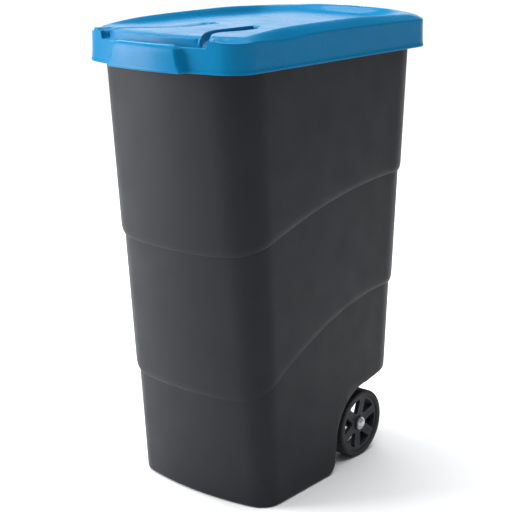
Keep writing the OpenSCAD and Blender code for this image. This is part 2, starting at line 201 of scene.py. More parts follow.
def outline(w, yf, yr, rf, rr, bow, stations=None):
    """Half width w, bowed front at yf with sagitta bow, flat back at yr, corner radii rf and rr."""
    bow_r = (w * w + bow * bow) / (2 * bow)
    cx = w - rf
    cy = yf + bow_r - math.sqrt((bow_r - rf) ** 2 - cx * cx)
    a = math.degrees(math.atan2(cy - yf - bow_r, cx))
    if stations is None:
        half = arc(0, yf + bow_r, bow_r, -90, a, FRONT_STEPS)
    else:
        half = [(bow_r * sin(math.radians(s)), yf + bow_r * (1 - cos(math.radians(s)))) for s in stations]
    half += arc(cx, cy, rf, a, 0, CORNER_STEPS)
    half += [(w, cy + (yr - rr - cy) * i / SIDE_STEPS) for i in range(SIDE_STEPS)]
    half += arc(w - rr, yr - rr, rr, 0, 90, CORNER_STEPS)
    half += [((w - rr) * (1 - i / REAR_STEPS), yr) for i in range(REAR_STEPS + 1)]
    return half + [(-x, y) for x, y in half[-2:0:-1]]


# ---- Tub ------------------------------------------------------------------------------------
TIER_STEP = 5.0
TUB_WALL = 3.0
TUB_HALF_WIDTH = 162
RIM_Z = 857.5
FLOOR_R = 7.0


def tub_front(z):
    """How far the lowest tier's front, drawn on up to height z, stands from the middle."""
    return 206.8 + 0.101 * z


def tub_rear(z):
    return 223.8 + 0.055 * z


@functools.lru_cache(None)
def tub_outline(z, n, out):
    """Outline of tier n, counted from 0 at the bottom, at height z and moved outwards by out."""
    o = n * TIER_STEP + out
    front_r, rear_r, bow = 49 + 0.03 * z, 62, 23 + 0.0175 * z
    return outline(TUB_HALF_WIDTH + o, -tub_front(z) - o, tub_rear(z) + o, front_r + o, rear_r + o, bow)


def flat_ring(z, n, out):
    return [(x, y, z) for x, y in tub_outline(z, n, out)]


# For each step: its height at the front, its rise, where the rise starts in Y, and the rise's length.
STEPS = {1: (215, 141, -232, 425), 2: (493, 88, -262, 470)}
STEP_BEND = 0.62


def step_z(which, y):
    """Height of a step's edge at y: level at the front, then an S that rises quickly at first."""
    base, rise, start, length = STEPS[which]
    return base + rise * smooth(max(0.0, (y - start) / length) ** STEP_BEND)


def step_ring(which, dz, n, out):
    """A ring that follows a step, lifted by dz. Its points keep the height of the step at their own Y."""
    base = tub_outline(step_z(which, 0), n, out)
    ring = []
    for i, (_, y) in enumerate(base):
        z = step_z(which, y) + dz
        x, y = outline_point(z, n, out, i)
        ring.append((x, y, z))
    return ring


def outline_point(z, n, out, i):
    """Point i of the tub's outline at height z, blended between outlines 2 mm apart."""
    low = 2 * math.floor(z / 2)
    t = (z - low) / 2
    a, b = tub_outline(low, n, out)[i], tub_outline(low + 2, n, out)[i]
    return a[0] + (b[0] - a[0]) * t, a[1] + (b[1] - a[1]) * t


# Height above the step's edge, and share of the step: a crisp lower edge under a lip that curls in.
STEP_LIP = [(-8, 0), (-2, 0), (-0.5, 0.01), (-0.1, 0.08), (0.0, 0.22), (0.35, 0.38), (1.2, 0.5), (2.6, 0.62),
            (4.6, 0.74), (7.2, 0.85), (10.5, 0.93), (14.5, 0.98), (19, 1.0)]
# Height above the rim's top, and how far out the rim stands there.
RIM_FLANGE = [(-17, 0), (-13.5, 0), (-12.6, 0.4), (-12.1, 1.4), (-11.9, 3.4), (-11.4, 4.2), (-10.6, 4.5),
              (-1.6, 4.5), (-0.6, 4.1), (-0.1, 3.3), (0, 2.5)]
# The same two things as STEP_LIP, for the tub's inside.
INNER_LIP = [(-6, 0), (-3, 0.1), (0, 0.5), (3, 0.8), (8, 1)]


def between(ring_a, ring_b, count):
    """Rings evenly between two others, without either."""
    rings = []
    for k in range(1, count + 1):
        t = k / (count + 1)
        rings.append([tuple(a + (b - a) * t for a, b in zip(p, q)) for p, q in zip(ring_a, ring_b)])
    return rings


def step_rings(which, out, lip):
    return [step_ring(which, dz, which - 1, out + f * TIER_STEP) for dz, f in lip]


def tub_outside():
    base = [flat_ring(FLOOR_R * (1 - cos(a)), 0, -FLOOR_R * (1 - sin(a)))
            for a in (pi / 2 * k / 6 for k in range(7))]
    low, high = step_rings(1, 0, STEP_LIP), step_rings(2, 0, STEP_LIP)
    rim = [flat_ring(RIM_Z + dz, 2, out) for dz, out in RIM_FLANGE]
    return skin("tub_shell", base + between(base[-1], low[0], 9) + low + between(low[-1], high[0], 9)
                + high + between(high[-1], rim[0], 9) + rim, 40)


def tub_inside():
    inner_r = FLOOR_R - 2
    base = [flat_ring(TUB_WALL + inner_r * (1 - cos(a)), 0, -TUB_WALL - inner_r * (1 - sin(a)))
            for a in (pi / 2 * k / 4 for k in range(5))]
    low, high = step_rings(1, -TUB_WALL, INNER_LIP), step_rings(2, -TUB_WALL, INNER_LIP)
    top = [flat_ring(RIM_Z - 14, 2, -TUB_WALL), flat_ring(RIM_Z + 4, 2, -TUB_WALL)]
    return skin("tub_space", base + between(base[-1], low[0], 4) + low + between(low[-1], high[0], 4)
                + high + between(high[-1], top[0], 4) + top, 40)


ARCH_Y, ARCH_Z, ARCH_R, FOOT_R = 130.0, 66.0, 98.0, 28.0
RECESS_REAR = (250.0, 187.0)
RECESS_REACH = 220


def recess(name, grow):
    """The space for the wheels under the tub's rear, made larger by grow."""
    foot = [((FOOT_R - grow) * cos(a), FOOT_R + (FOOT_R - grow) * sin(a))
            for a in (-pi / 2 + pi / 2 * k / 10 for k in range(11))]
    arch = [(ARCH_Y + (ARCH_R + grow) * cos(a), ARCH_Z + (ARCH_R + grow) * sin(a))
            for a in (pi - pi / 2 * k / 28 for k in range(29))]
    below = -20
    rear = [(RECESS_REAR[0], RECESS_REAR[1] + grow), (RECESS_REAR[0], below), (0, below)]
    return prism_x(name, foot + arch + rear, -RECESS_REACH, RECESS_REACH)


tyre_low, tyre_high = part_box("tyre_right")
AXLE_Y = round((tyre_low.y + tyre_high.y) / 2 / MM, 1)
WHEEL_R = round((tyre_high.z - tyre_low.z) / 2 / MM, 1)
WHEEL_OUT_X = round(tyre_high.x / MM, 1)
WHEEL_WIDTH = round((tyre_high.x - tyre_low.x) / MM, 1)
HINGE_Y, HINGE_Z = 317.0, 803.0
BRACKET_X, BRACKET_T, BOSS_R = 84.0, 12.0, 17.0
LUG_X, LUG_T, LUG_R = 64.0, 12.0, 14.0
BORE_GAP = 0.05
AXLE_R, PIN_R, BAR_R = 6.0, 4.0, 12.0
PIN_INNER_X, PIN_BORE_END = LUG_X + LUG_T - 20.0, 100


def rod_profile(r, x0, x1):
    """Half the length section of a rod whose ends are chamfered."""
    edge = 0.6
    return [(0, x0), (r - edge, x0), (r, x0 + edge), (r, x1 - edge), (r - edge, x1), (0, x1)]


def rod(name, y, z, r, x0, x1, steps=64):
    return lathe_x(name, rod_profile(r, x0, x1), (0, y, z), steps)


def tangent_web(name, side, inner_x, thickness, y, z, r, feet):
    """A plate on one side: an eye of radius r at (y, z) that widens into a foot with corners at feet."""
    first, last = feet
    a0 = math.atan2(first[1] - z, first[0] - y)
    a1 = math.atan2(last[1] - z, last[0] - y)
    near0 = a0 + math.acos(r / math.hypot(first[0] - y, first[1] - z))
    near1 = a1 - math.acos(r / math.hypot(last[0] - y, last[1] - z))
    while near1 < near0:
        near1 += 2 * pi
    eye = [(y + r * cos(near0 + (near1 - near0) * k / 28), z + r * sin(near0 + (near1 - near0) * k / 28))
           for k in range(29)]
    return prism_x(name, [first] + eye + [last], *sorted((side * inner_x, side * (inner_x + thickness))))


def pin_bore(side, near_x, far_x):
    return rod("pin_bore", HINGE_Y, HINGE_Z, PIN_R + BORE_GAP, *sorted((side * near_x, side * far_x)))


def make_tub():
    body = tub_outside()
    boolean(body, recess("recess", 0))
    space = tub_inside()
    boolean(space, recess("recess_wall", TUB_WALL))
    boolean(body, space)
    wall_y = tub_rear(HINGE_Z) + 2 * TIER_STEP
    arch_top = ARCH_Z + ARCH_R
    bracket_foot = ((AXLE_Y - 34, arch_top - 3), (AXLE_Y + 44, arch_top + 11))
    lug_foot = ((wall_y - 1.5, HINGE_Z - 46), (wall_y - 1.5, HINGE_Z + LUG_R - 2))
    for side in (-1, 1):
        bracket = tangent_web("bracket", side, BRACKET_X, BRACKET_T, AXLE_Y, WHEEL_R, BOSS_R, bracket_foot)
        boolean(body, bracket, "UNION")
        lug = tangent_web("lug", side, LUG_X, LUG_T, HINGE_Y, HINGE_Z, LUG_R, lug_foot)
        boolean(body, lug, "UNION")
    boolean(body, rod("bar", HINGE_Y, HINGE_Z, BAR_R, -LUG_X - 1, LUG_X + 1, 72), "UNION")
    axle_bore_half = BRACKET_X + BRACKET_T + 24
    boolean(body, rod("axle_bore", AXLE_Y, WHEEL_R, AXLE_R + BORE_GAP, -axle_bore_half, axle_bore_half))
    for side in (-1, 1):
        boolean(body, pin_bore(side, PIN_INNER_X, PIN_BORE_END))
    bevel(body, 0.9, 2, 48)
    shade(body, 38)
    body.name = "tub_body"
    return body


# ---- Lid ------------------------------------------------------------------------------------
LID_W, LID_FRONT, LID_REAR = 183.5, -316.0, 300.6
LID_WALL = 2.6
SKIRT_Z, CREASE_Z = 820.0, 873.0
LID_BOW = 34.0
LID_BOW_R = (LID_W ** 2 + LID_BOW ** 2) / (2 * LID_BOW)
LID_BOW_Y = LID_FRONT + LID_BOW_R
LID_FRONT_R, LID_REAR_R = 57, 49
EDGE_D = 2.4
EDGE_ROUND = 1.8
# The ridge's middle and the panel's start, as distances inwards from the lid's edge.
RIDGE_D, PANEL_D = 21, 37
LEDGE_Z = 862.0
LEDGE_DEPTH = 8.5
GRIP_OUT, GRIP_R, GRIP_LIFT = 15.0, 9.0, 5.0
# The grip's half width at its top, and how much wider its foot is, as angles of the bowed front in degrees.
GRIP_EDGE, GRIP_SPREAD = 8.15, 1.2
TONGUE_HALF_WIDTH = 104.0
TONGUE_LIP_Z = 875.8
NOTCH_HALF_WIDTH = 122
# Angles of the points along half of the bowed front, closer together at the grip's flank and the notch's end.
STATIONS = ([0.6 * k for k in range(12)]
            + [7.1, 7.4, 7.7, 7.95, 8.2, 8.45, 8.7, 8.95, 9.2, 9.45, 9.7, 9.95, 10.3, 10.8]
            + [11.5, 12.1, 12.6, 13.0]
            + [13.25, 13.45, 13.65, 13.85, 14.1, 14.5, 15.0, 15.5])


def lid_outline(d):
    """The lid's outline moved inwards by d; its rear corners grow rounder towards the panel."""
    w, r = LID_W - d, LID_BOW_R - d
    front_r = max(24, LID_FRONT_R - d)
    rear_r = LID_REAR_R - min(d, 6) + 84 * smooth((d - 6) / 37)
    bow = r - math.sqrt(r * r - w * w)
    return outline(w, LID_FRONT + d, LID_REAR - d, front_r, rear_r, bow, STATIONS)


def np_smooth(t):
    t = np.clip(t, 0, 1)
    return t * t * (3 - 2 * t)


def segment_distance(px, py, line, closed):
    """Distance from each point to a polyline, the nearest segment, and which side of it the point is on."""
    a = np.array(line, float)
    b = np.roll(a, -1, axis=0)
    if not closed:
        a, b = a[:-1], b[:-1]
    dx, dy = (b - a).T
    length2 = dx * dx + dy * dy
    best = np.full(px.shape, 1e9)
    index = np.zeros(px.shape, int)
    side = np.ones(px.shape)
    for i in range(len(a)):
        ux, uy = px - a[i, 0], py - a[i, 1]
        t = np.clip((ux * dx[i] + uy * dy[i]) / length2[i], 0, 1)
        ex, ey = ux - t * dx[i], uy - t * dy[i]
        dist = np.hypot(ex, ey)
        nearer = dist < best - 1e-9
        best = np.where(nearer, dist, best)
        index = np.where(nearer, i, index)
        side = np.where(nearer, np.sign(dx[i] * uy - dy[i] * ux), side)
    return best, index, side


# Distances inwards at which the lid's outline is drawn, to read other distances between them.
INSETS = [0, 3, 6, 10, 14, 18, RIDGE_D, 25, 29, 33, PANEL_D, 44]


def inset_of(px, py):
    """How far each point lies inwards from the lid's edge, read between its inset outlines."""
    signed = []
    for d in INSETS:
        dist, _, side = segment_distance(px, py, lid_outline(d), True)
        signed.append(dist * side)
    result = np.clip(signed[0], -5, 0)
    for k in range(len(INSETS) - 1):
        a, b = signed[k], signed[k + 1]
        inside = (a >= 0) & (b < 0)
        t = a / np.maximum(a - b, 1e-6)
        result = np.where(inside, INSETS[k] + (INSETS[k + 1] - INSETS[k]) * t, result)
    return np.where(signed[-1] >= 0, INSETS[-1] + np.clip(signed[-1], 0, 200), result)


def lid_top(px, py, d):
    """Height of the lid's top at a distance d inwards: an edge crease, a ridge behind it, and a dished panel."""
    corner = np_smooth((np.abs(px) - 125) / 45) * np_smooth((-225 - py) / 45)
    # The crease is highest at the front, dips beside the front corners, and falls a little at the rear.
    crease = (CREASE_Z + 3 * np.exp(-((py - LID_FRONT) / 45) ** 2) - 5.5 * np.exp(-((py + 165) / 55) ** 2)
              - 3 * np_smooth((py - 160) / 130) - 2.5 * corner)
    # The ridge climbs quickly behind the front corners, then falls slowly; its middle rises over the hinge.
    ridge = (864 + 25.4 * (1 - np.exp(-np.maximum(py + 300, 0) / 60)) - 5.5 * np_smooth((py - 60) / 200)
             + 4 * np.maximum(0, 1 - (px / 130) ** 2) * np_smooth((py - 200) / 70))
    beside_notch = np_smooth((152 - np.abs(px)) / 30) * np_smooth((-235 - py) / 40)
    ridge = ridge + np.maximum(0, 877 - ridge) * beside_notch
    dish = 879.5 - 2.0 * np_smooth((py + 250) / 120) - 5 * np_smooth((py + 50) / 260)
    edge_share = np.clip(d / RIDGE_D, 0, 1)
    rise = crease + (ridge - crease) * (0.5 * np.sin(edge_share * pi / 2) + 0.5 * np_smooth(edge_share))
    fall = ridge + (dish - ridge) * np_smooth((d - RIDGE_D) / (PANEL_D - RIDGE_D))
    top = np.where(d < RIDGE_D, rise, fall)
    # The tongue's front edge rolls down a little towards the notch.
    roll = np.clip((d - EDGE_D - LEDGE_DEPTH) / 24, 0, 1)
    at_front = np_smooth((-225 - py) / 30) * np_smooth((118 - np.abs(px)) / 14)
    rolled = TONGUE_LIP_Z + (dish + 0.4 - TONGUE_LIP_Z) * np.sin(roll * pi / 2)
    return top + (rolled - top) * at_front


# Tongue-side edge and outer edge of the right channel, from the notch to its rear end.
TONGUE_SIDE = [(106, -293.5), (84, -263), (63, -233), (48, -204), (39.5, -178), (36.5, -152), (36.5, -120),
               (37, -80)]
BANK_SIDE = [(121.5, -296), (112.5, -282), (92.5, -257.5), (75, -234), (62, -208), (56.5, -181), (54.5, -152),
             (54, -120), (54, -80)]


def curve_through(points, step):
    """A smooth open curve through points, resampled at an even step."""
    dense = []
    pts = [Vector(p) for p in points]
    pts = [2 * pts[0] - pts[1]] + pts + [2 * pts[-1] - pts[-2]]
    for k in range(1, len(pts) - 2):
        p0, p1, p2, p3 = pts[k - 1:k + 3]
        for i in range(24):
            t = i / 24
            dense.append(0.5 * (2 * p1 + (p2 - p0) * t + (2 * p0 - 5 * p1 + 4 * p2 - p3) * t * t
                                + (3 * p1 - p0 - 3 * p2 + p3) * t ** 3))
    dense.append(pts[-2])
    return resample([tuple(p) for p in dense], step)


def resample(line, step):
    line = np.array(line, float)
    gaps = np.hypot(*np.diff(line, axis=0).T)
    along = np.concatenate([[0], np.cumsum(gaps)])
    count = max(2, int(round(along[-1] / step)) + 1)
    at = np.linspace(0, along[-1], count)
    return list(zip(np.interp(at, along, line[:, 0]), np.interp(at, along, line[:, 1])))


def corner_arc(before, corner, after, r):
    """Points of a rounded corner."""
    steps = 8
    b, c, a = Vector(before), Vector(corner), Vector(after)
    p, q = c + (b - c).normalized() * r, c + (a - c).normalized() * r
    shares = [k / steps for k in range(steps + 1)]
    return [tuple(p * (1 - t) ** 2 + c * 2 * t * (1 - t) + q * t * t) for t in shares]


def moat_edge():
    """The edge of the sunken region: an open line round both channels and along the tongue's front.

    Returns the line, with the sunken region on its left, and for each segment 1 on the tongue's side, else 0.
    """
    bank, tongue = curve_through(BANK_SIDE, 1.5), curve_through(TONGUE_SIDE, 1.5)
    mouth = [(NOTCH_HALF_WIDTH, -330), (NOTCH_HALF_WIDTH + 0.2, -300)]
    start = mouth + corner_arc(mouth[-1], (NOTCH_HALF_WIDTH + 0.4, -295), (116, -284.5), 3)[1:] + bank[10:-3]
    end_corner_bank = corner_arc(bank[-4], bank[-1], tongue[-1], 3.5)
    end_corner_tongue = corner_arc(bank[-1], tongue[-1], tongue[-4], 2.5)
    lip_r = LID_BOW_R - EDGE_D - LEDGE_DEPTH
    a = math.asin(TONGUE_HALF_WIDTH / lip_r)
    front = [(lip_r * sin(t), LID_BOW_Y - lip_r * cos(t)) for t in np.linspace(a, 0, 34)]
    tongue_corner = corner_arc(tongue[4], (front[0][0] + 2.2, front[0][1] + 0.6), front[2], 3.2)
    half = start + end_corner_bank + end_corner_tongue + tongue[-4:3:-1] + tongue_corner + front[3:]
    kinds = [0] * (len(start) + len(end_corner_bank)) + [1] * (len(half) - len(start) - len(end_corner_bank))
    left = [(-x, y) for x, y in half[-2::-1]]
    line = half + left
    return line, kinds + kinds[-2::-1]


MOAT, MOAT_KIND = moat_edge()
# Distance outwards from the sunken region's edge, and share of the drop reached there.
TONGUE_PROFILE = ([-2.2, -1.3, -0.7, -0.35, 0.0, 0.3, 0.7, 1.4],
                  [1, 0.975, 0.9, 0.78, 0.2, 0.09, 0.025, 0])
BANK_PROFILE = ([-3.2, -2.0, -1.2, -0.6, 0.0, 0.8, 1.8, 3.2, 5.0, 7.5],
                [1, 0.97, 0.88, 0.74, 0.55, 0.36, 0.21, 0.1, 0.03, 0])


def moat_floor(px, py):
    """Height of the sunken floor: the ledge in the notch, and the channels' floor behind it."""
    channel = 863.3 + 1.6 * np_smooth((py + 285) / 190)
    behind_ledge = py + 293 - (NOTCH_HALF_WIDTH - np.abs(px)) * 0.12
    return LEDGE_Z + (channel - LEDGE_Z) * np_smooth(behind_ledge / 3.0)


def lid_height(px, py, grow=0.0):
    """Height of the lid's upper surface; grow widens the sunken region, for the surface under it."""
    top = lid_top(px, py, inset_of(px, py))
    dist, index, side = segment_distance(px, py, MOAT, False)
    outwards = -dist * side - grow
    # Towards its rear the channel's outer bank dips in a long slope, up to the square end.
    stretch = (1 + 4.5 * np_smooth((py + 245) / 110) * np_smooth((-82 - py) / 14)
               - 0.72 * np_smooth((-286 - py) / 8))
    kind = np.array(MOAT_KIND)[np.clip(index, 0, len(MOAT_KIND) - 1)]
    bank = np.interp(outwards / np.where(outwards > 0, stretch, 1), *BANK_PROFILE)
    share = np.where(kind == 1, np.interp(outwards, *TONGUE_PROFILE), bank)
    return top + (np.minimum(moat_floor(px, py), top) - top) * share


def offset_line(line, distance, keep):
    """Pieces of the line moved outwards by distance, without the folds, where keep says so."""
    pts = np.array(line, float)
    ahead = np.gradient(pts, axis=0)
    ahead /= np.hypot(*ahead.T)[:, None]
    moved = pts + distance * np.column_stack([ahead[:, 1], -ahead[:, 0]])
    dist, _, _ = segment_distance(moved[:, 0], moved[:, 1], line, False)
    good = (dist > abs(distance) - 0.06) & keep(moved[:, 0], moved[:, 1])
    pieces, current = [], []
    for ok, p in zip(good, moved):
        if ok:
            if not current or math.dist(current[-1], p) > 0.3:
                current.append(tuple(p))
        elif current:
            pieces.append(current)
            current = []
    if current:
        pieces.append(current)
    return [p for p in pieces if len(p) > 1]


def grip_mask(angle, low):
    """1 on the grip and 0 off it; the grip is wider at its foot, where low is 1."""
    edge = GRIP_EDGE + GRIP_SPREAD * low
    return smooth((edge + 0.5 - abs(angle)) / 1.0)


AWAY = 1e3


def loop_angles():
    """The front angle of every outline point, or AWAY where the point isn't on the bowed front."""
    n = len(lid_outline(0))
    angles = [AWAY] * n
    for i, s in enumerate(STATIONS):
        angles[i] = s
        angles[-i] = s
    return angles


ANGLES = loop_angles()


def front_shift(points, out, low):
    """Moves the points of an outline forwards by out where the grip is."""
    moved = []
    for (x, y), angle in zip(points, ANGLES):
        g = grip_mask(angle, low) * out if angle < AWAY else 0.0
        reach = math.hypot(x, LID_BOW_Y - y)
        moved.append((x + g * x / reach, y - g * (LID_BOW_Y - y) / reach) if g else (x, y))
    return moved


# Distances inwards of the rings of points behind the edge of the lid's top.
EDGE_RINGS = (0.35, 0.9, 1.8, 3.2, 5.2, 7.8, 11, 14.6, 18.6, 22.5, 26.5, 30.5, 34.5)
# Distances outwards of the lines of points along the sunken region's edge, above and under the lid.
UPPER_OFFSETS = sorted(set(TONGUE_PROFILE[0]) | set(BANK_PROFILE[0]))
UNDER_OFFSETS = [-3, -1.2, -0.4, 0.4, 1.4, 3.4, 6]
GRID_STEP = 7.0


def sheet(edge_d, offsets, grow):
    """The plan mesh of the lid's top: points, triangles and the loop round its edge."""
    grip_reach = GRIP_OUT - GRIP_R
    boundary = front_shift(lid_outline(edge_d), grip_reach, 0)
    n = len(boundary)
    points = list(boundary)
    edges = [(i, (i + 1) % n) for i in range(n)]
    for d in EDGE_RINGS:
        points += front_shift(lid_outline(edge_d + d), grip_reach * max(0.0, 1 - d / GRIP_R), 0)

    def inside(px, py):
        dist, _, side = segment_distance(px, py, boundary, True)
        return (dist * side) > 1.2

    lines = []
    for offset in offsets:
        lines += offset_line(MOAT, offset + grow, inside)
    for line in lines:
        first = len(points)
        points += line
        edges += [(first + i, first + i + 1) for i in range(len(line) - 1)
                  if math.dist(line[i], line[i + 1]) < 6]
    grid = [((i + 0.5 * (j % 2)) * GRID_STEP, LID_FRONT + j * GRID_STEP * 0.866)
            for j in range(103) for i in range(-27, 28)]
    gx, gy = np.array(grid).T
    deep, _, side = segment_distance(gx, gy, lid_outline(edge_d + 36), True)
    moat_dist, _, _ = segment_distance(gx, gy, MOAT, False)
    free = (deep * side > 2.5) & (moat_dist > 8.5)
    points += [g for g, ok in zip(grid, free) if ok]
    out_verts, _, out_faces, orig_verts, _, _ = delaunay_2d_cdt(
        [Vector(p) for p in points], edges, [list(range(n))], 1, 1e-4)
    loop = [-1] * n
    for i, sources in enumerate(orig_verts):
        for source in sources:
            if source < n:
                loop[source] = i
    return [(v.x, v.y) for v in out_verts], [list(f) for f in out_faces], loop


def edge_fall(depth):
    """How far the lid's top falls at a plan distance from its rounded edge."""
    t = np.clip(depth / EDGE_ROUND, 0, 1)
    return EDGE_ROUND * (1 - np.sqrt(1 - (1 - t) ** 2))


def face_up(plan, face):
    (ax, ay), (bx, by), (cx, cy) = (plan[i] for i in face[:3])
    return (bx - ax) * (cy - ay) - (by - ay) * (cx - ax) > 0


def lid_upper():
    """The lid's upper surface: points, faces that look up, and the loop round its edge."""
    plan, faces, loop = sheet(EDGE_D, UPPER_OFFSETS, 0)
    px, py = np.array(plan).T
    depth, _, _ = segment_distance(px, py, [plan[i] for i in loop], True)
    angle = np.abs(np.degrees(np.arctan2(px, LID_BOW_Y - py)))
    # The edge is rounded off except at the grip, whose top rises in a soft roll.
    off_grip = 1 - np_smooth((8.5 - angle) / 1.0)
    roll = np_smooth((8.1 - angle) / 1.1) * (1 - np_smooth((depth - 5) / 9)) * (py < -285)
    height = lid_height(px, py) - edge_fall(depth) * off_grip + GRIP_LIFT * roll
    points = [(x, y, z) for (x, y), z in zip(plan, height)]
    return points, [f if face_up(plan, f) else f[::-1] for f in faces], loop


def lid_under():
    """The surface under the lid's top: points, faces that look down, and the loop round its edge."""
    grow = 2.4
    plan, faces, loop = sheet(EDGE_D + LID_WALL + 0.6, UNDER_OFFSETS, grow)
    px, py = np.array(plan).T
    height = lid_height(px, py, grow) - LID_WALL
    points = [(x, y, z) for (x, y), z in zip(plan, height)]
    return points, [f[::-1] if face_up(plan, f) else f for f in faces], loop


# Level rings of the skirt, its outside from the top down and its inside from the foot up. Each row holds the
# distance inwards, the height, how far the grip stands out, and the share of the grip's spread.
SKIRT_OUTSIDE = [(2.3, 858.5, 13.2, 0.05), (2.25, 855, 14.5, 0.1), (2.2, 850.5, 15, 0.2),
                 (2.0, 845, 15.2, 0.35), (1.8, 839, 15.4, 0.5), (1.6, 833, 15.6, 0.7), (1.4, 829, 15.7, 0.85),
                 (1.2, 826.4, 15.6, 1), (0.95, 825.2, 15.4, 1), (0.35, 824.2, 15.1, 1), (0.05, 823.2, 15, 1),
                 (0.0, 821.4, 15, 1), (0.25, 820.4, 15, 1), (0.8, SKIRT_Z, 15, 1)]
SKIRT_INSIDE = [(2.2, SKIRT_Z, 15, 1), (2.6, 820.4, 15, 1), (2.75, 821.4, 15, 1), (3.4, 826, 15, 1),
                (4.0, 839, 14.8, 0.5), (4.6, 850, 14.6, 0.2), (4.9, 854.5, 12.4, 0.1)]
# Rings next to the lid's top, whose height varies; the second number is the share of the way to a level ring.
UNDER_EDGE = [(2.36, 0.1, 8.4, 0), (2.33, 0.34, 11.0, 0)]
UNDER_TOP = (5.1, 0.4, 8.6, 0)


def level_ring(row):
    inset, z, out, low = row
    return [(x, y, z) for x, y in front_shift(lid_outline(inset), out, low)]


def edge_ring(row, edge, level):
    """A ring between the edge of the lid's top and a level ring."""
    inset, share, out, low = row
    ring = front_shift(lid_outline(inset), out, low)
    return [(x, y, top[2] + (foot[2] - top[2]) * share) for (x, y), top, foot in zip(ring, edge, level)]


KNUCKLE_X = LUG_X + LUG_T + 0.4
KNUCKLE_T = 12.0
KNUCKLE_R = 11.0
KNUCKLE_BORE = (70, 95)


def knuckle(side):
    skirt_y = LID_REAR - 2.5
    foot = ((skirt_y, SKIRT_Z + 3), (skirt_y, CREASE_Z - 16))
    return tangent_web("knuckle", side, KNUCKLE_X, KNUCKLE_T, HINGE_Y, HINGE_Z, KNUCKLE_R, foot)


def make_lid():
    """One closed shell: the upper surface, the skirt's outside and inside, and the surface under the top."""
    points, faces, outer_loop = lid_upper()
    under_points, under_faces, inner_loop = lid_under()
    first_under = len(points)
    points += under_points
    faces += [[i + first_under for i in f] for f in under_faces]
    last_loop = [first_under + i for i in inner_loop]

    outside = [level_ring(row) for row in SKIRT_OUTSIDE]
    inside = [level_ring(row) for row in SKIRT_INSIDE]
    upper_edge, under_edge = [points[i] for i in outer_loop], [points[i] for i in last_loop]
    rings = [edge_ring(row, upper_edge, outside[0]) for row in UNDER_EDGE] + outside + inside
    rings.append(edge_ring(UNDER_TOP, under_edge, inside[-1]))

    n = len(outer_loop)
    loops = [outer_loop]
    for ring in rings:
        loops.append(list(range(len(points), len(points) + n)))
        points += ring
    loops.append(last_loop)
    for above, below in zip(loops, loops[1:]):
        faces += [[above[i], below[i], below[(i + 1) % n], above[(i + 1) % n]] for i in range(n)]
    body = make_object("lid_body", points, faces, 32)
    weld(body, 0.02)
    for side in (-1, 1):
        boolean(body, knuckle(side), "UNION")
        boolean(body, pin_bore(side, *KNUCKLE_BORE))
    shade(body, 34)
    return body


# ---- Wheels ---------------------------------------------------------------------------------
TYRE_INNER_R = WHEEL_R - 10
RIM_INNER_R = TYRE_INNER_R - 6
HUB_R = 15.0
WEB_HOLE_R = 10.0
WEB_T = 9.0
WEB_IN_RIM = 2.0
SPOKES = 6
SPOKE_HALF_WIDTH = 8.5
FIRST_WINDOW = math.radians(51)
WHEEL_INNER_X = WHEEL_OUT_X - WHEEL_WIDTH
WHEEL_CENTRE = (WHEEL_INNER_X, AXLE_Y, WHEEL_R)


def wheel_window():
    """One opening between two spokes, in the wheel's plane, with rounded corners."""
    outer, outer_corner, steps = RIM_INNER_R - 1.8, 3.2, 8
    near, near_corner, near_angle = 23.0, 2.6, math.radians(7)
    a = math.radians(180 / SPOKES) - math.asin(SPOKE_HALF_WIDTH / outer)
    corners = [(near * cos(near_angle), -near * sin(near_angle), near_corner)]
    corners += [(outer * cos(t), outer * sin(t), outer_corner if i in (0, steps) else 0.0)
                for i, t in enumerate(np.linspace(-a, a, steps + 1))]
    corners += [(near * cos(near_angle), near * sin(near_angle), near_corner)]
    return rounded_profile(corners, 6)


def turned(points, angle):
    c, s = cos(angle), sin(angle)
    return [(x * c - y * s, x * s + y * c) for x, y in points]


def circle(r, n):
    return [(r * cos(2 * pi * k / n), r * sin(2 * pi * k / n)) for k in range(n)]


def web_face(r):
    """Distance of the web's outer face from the wheel's inner plane, dished towards the hub."""
    return WHEEL_WIDTH - 2.5 - 4.2 + 2.8 * np_smooth((r - 14) / 40)


def in_windows(px, py, windows, margin):
    """Which points lie in a window, or within margin of one."""
    found = np.zeros(px.shape, bool)
    for window in windows:
        dist, _, side = segment_distance(px, py, window, True)
        found |= side * dist > -margin
    return found


def web_plan():
    """The spoked web in the wheel's plane: points, and triangles that all turn the same way."""
    windows = [turned(wheel_window(), FIRST_WINDOW + k * 2 * pi / SPOKES) for k in range(SPOKES)]
    points, edges = [], []
    for loop in [circle(RIM_INNER_R + WEB_IN_RIM, 120), circle(WEB_HOLE_R, 48)] + windows:
        base = len(points)
        points += loop
        edges += [(base + i, base + (i + 1) % len(loop)) for i in range(len(loop))]
    fixed = len(points)
    for r in (12.5, 16, 20, 25, 30, 35, 40, 45, 50):
        points += circle(r, 72)
    px, py = np.array(points).T
    keep = ~in_windows(px, py, windows, 1.6)
    keep[:fixed] = True
    out_verts, _, out_faces, _, _, _ = delaunay_2d_cdt(
        [Vector(points[i]) for i in np.flatnonzero(keep)], edges, [], 0, 1e-4)
    plan = np.array([(v.x, v.y) for v in out_verts])
    middles = np.array([plan[list(f)].mean(axis=0) for f in out_faces])
    r = np.hypot(*middles.T)
    slack = 0.02
    solid = (r > WEB_HOLE_R - slack) & (r < RIM_INNER_R + WEB_IN_RIM - slack)
    solid &= ~in_windows(middles[:, 0], middles[:, 1], windows, 0)
    faces = [list(f) if face_up(plan, f) else list(f)[::-1] for f, ok in zip(out_faces, solid) if ok]
    used = sorted({i for f in faces for i in f})
    new_index = {old: new for new, old in enumerate(used)}
    return [tuple(plan[i]) for i in used], [[new_index[i] for i in f] for f in faces]


